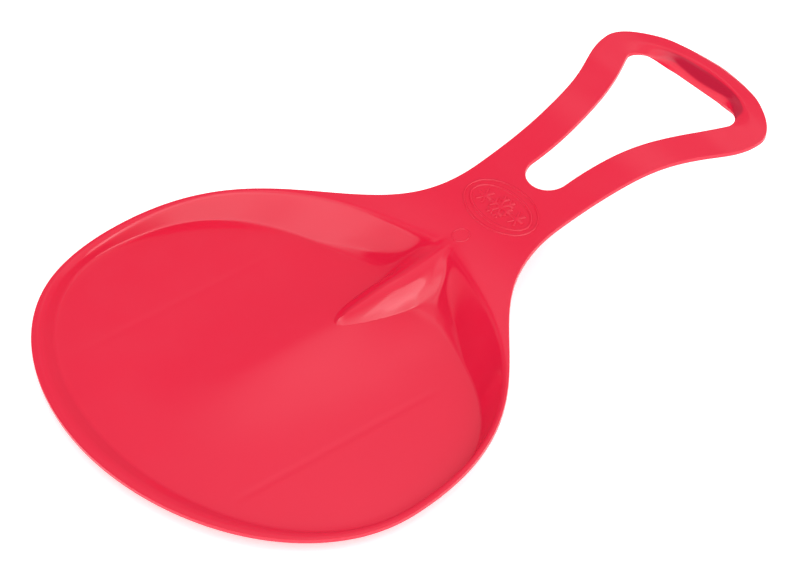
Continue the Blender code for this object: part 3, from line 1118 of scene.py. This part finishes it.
@dataclass(frozen=True)
class PhotoCamera:
    """Camera at the photograph's viewing angle."""

    azimuth: float = 51.26
    elevation: float = 40.93
    distance: float = 1860.0 * MM
    aim: tuple[float, float, float] = (-8.94 * MM, -11.62 * MM, 6.0 * MM)
    lens: float = 135.0
    sensor: float = 36.0
    clip: Pair = (0.05, 50.0)

    def build(self) -> bpy.types.Object:
        """Make the camera and look through it.

        Returns:
            The camera.
        """
        data = bpy.data.cameras.new("photo_camera")
        data.lens = self.lens
        data.sensor_width = self.sensor
        data.clip_start, data.clip_end = self.clip
        camera = bpy.data.objects.new("photo_camera", data)
        stand_back(camera, self.aim, bearing(self.azimuth, self.elevation), self.distance)
        bpy.context.scene.camera = camera
        return camera


@dataclass(frozen=True)
class Softbox:
    """A soft square studio light, aimed at the slider."""

    name: str
    azimuth: float
    elevation: float
    distance: float
    size: float
    power: float

    def build(self) -> bpy.types.Object:
        """Make the light.

        Returns:
            The light.
        """
        data = bpy.data.lights.new(self.name, "AREA")
        data.shape = "SQUARE"
        data.size = self.size
        data.energy = self.power
        light = bpy.data.objects.new(self.name, data)
        stand_back(light, (0, 0, 0), bearing(self.azimuth, self.elevation), self.distance)
        return light


@dataclass(frozen=True)
class SoftLobe:
    """A patch of soft light in the surround, or of dark card where its strength is below zero.

    It starts at the directions whose cosine to its middle is outer and is full from inner on. One whose
    inner is past 1 is only part of the way to its strength at its middle.
    """

    name: str
    azimuth: float
    elevation: float
    outer: float
    inner: float
    strength: float

    def build(self, tree: Tree, place: Socket) -> Socket:
        """Make the patch's brightness over directions.

        Args:
            tree: The surround's node tree.
            place: Direction from the object.

        Returns:
            The brightness socket.
        """
        toward = add_node(tree, "ShaderNodeVectorMath", {
            0: place, 1: bearing(self.azimuth, self.elevation)}, operation="DOT_PRODUCT")
        return add_node(tree, "ShaderNodeMapRange", {
            "Value": toward.outputs["Value"], "From Min": self.outer, "From Max": self.inner,
            "To Min": 0.0, "To Max": self.strength}, interpolation_type="SMOOTHSTEP",
            label=self.name).outputs[0]


@dataclass(frozen=True)
class Studio:
    """Pale floor, one soft light, and a surround whose patches stand where the photo's reflections lie."""

    floor_half: float = 8.0
    surround: str = "FFFFFF"
    evenness: float = 1.0
    dimmest: float = 0.04
    lobes: tuple[SoftLobe, ...] = (
        SoftLobe("high_behind_seat", 353, 64, 0.88, 0.94, 0.67),
        SoftLobe("behind_seat", 355, 38, 0.87, 1.17, 3.8),
        SoftLobe("broad_right", 65, 30, 0.60, 0.91, 2.1),
        SoftLobe("strip_right", 117, 33, 0.95, 1.07, 4.0),
        SoftLobe("past_the_grip", 230, 50, 0.98, 1.06, 3.9),
        SoftLobe("faint_left", 305, 48, 0.86, 0.92, 0.17),
        SoftLobe("whole_ceiling", 212, 57, 0.14, 1.55, 0.51),
        SoftLobe("overhead", 99, 78, 0.66, 0.75, 0.42),
        SoftLobe("low_left", 325, 9, 0.83, 1.13, 2.2),
        SoftLobe("card_left", 306, 46, 0.95, 0.98, -1.0),
        SoftLobe("card_high_left", 276, 55, 0.965, 0.99, -0.35),
        SoftLobe("card_low_left", 290, 12, 0.975, 0.99, -0.3),
    )
    key: Softbox = Softbox("key_softbox", 125.0, 50.0, 2.0, 0.9, 4.8)

    def build(self) -> None:
        """Make the floor, the lights and the surround."""
        mesh = bmesh.new()
        bmesh.ops.create_grid(mesh, x_segments=1, y_segments=1, size=self.floor_half)
        floor = add_object("studio_floor", mesh)
        floor.data.materials.append(StudioPaper().build())
        self.key.build()
        scene = bpy.context.scene
        scene.world = self.build_surround()
        scene.view_settings.view_transform = "Standard"

    def build_surround(self) -> bpy.types.World:
        """Make the surround: an even soft white, and for reflections a few broad patches.

        Returns:
            The world.
        """
        world = bpy.data.worlds.new("studio_surround")
        world.use_nodes = True
        tree = world.node_tree
        tree.nodes.clear()
        place = add_node(tree, "ShaderNodeTexCoord").outputs["Generated"]
        total = add_node(tree, "ShaderNodeValue").outputs[0]
        total.default_value = self.dimmest
        for lobe in self.lobes:
            total = add_node(tree, "ShaderNodeMath", {0: total, 1: lobe.build(tree, place)},
                             operation="ADD").outputs[0]
        total = add_node(tree, "ShaderNodeMath", {0: total, 1: 0.0}, operation="MAXIMUM").outputs[0]
        rays = add_node(tree, "ShaderNodeLightPath").outputs
        soft = add_node(tree, "ShaderNodeMath", {0: rays["Is Diffuse Ray"], 1: rays["Is Camera Ray"]},
                        operation="MAXIMUM").outputs[0]
        strength = add_node(tree, "ShaderNodeMix", {0: soft, 2: total, 3: self.evenness}).outputs[0]
        backdrop = add_node(tree, "ShaderNodeBackground", {"Color": hex_colour(self.surround),
                                                           "Strength": strength})
        add_node(tree, "ShaderNodeOutputWorld", {"Surface": backdrop.outputs[0]})
        return world


def hand_over(item: bpy.types.Object, material: bpy.types.Material) -> None:
    """Dress a piece, let it ride on the slider's body and report it.

    Args:
        item: The finished piece.
        material: Its finish.
    """
    item.data.materials.clear()
    item.data.materials.append(material)
    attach(item, BODY)
    log.info("%s: %d faces", item.name, len(item.data.polygons))


def main() -> None:
    """Build the slider's pieces and the studio round them."""
    low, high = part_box(SHELL_NODE)
    profile = SideProfile(length=high.y - low.y)
    fine = Fineness()
    plastic = MouldedPolyethylene().build()
    waist = Waist()
    moulding = Shell(Scoop(profile, fine, waist, half_width=(high.x - low.x) / 2),
                     HandLoop(profile, fine, waist), Runner(profile.length))
    shell = moulding.build()
    hand_over(shell, plastic)
    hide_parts(SHELL_NODE)
    for mark in NeckMarks(profile).build(moulding.lift):
        hand_over(mark, plastic)
    PhotoCamera().build()
    Studio().build()


if __name__ == "__main__":
    main()
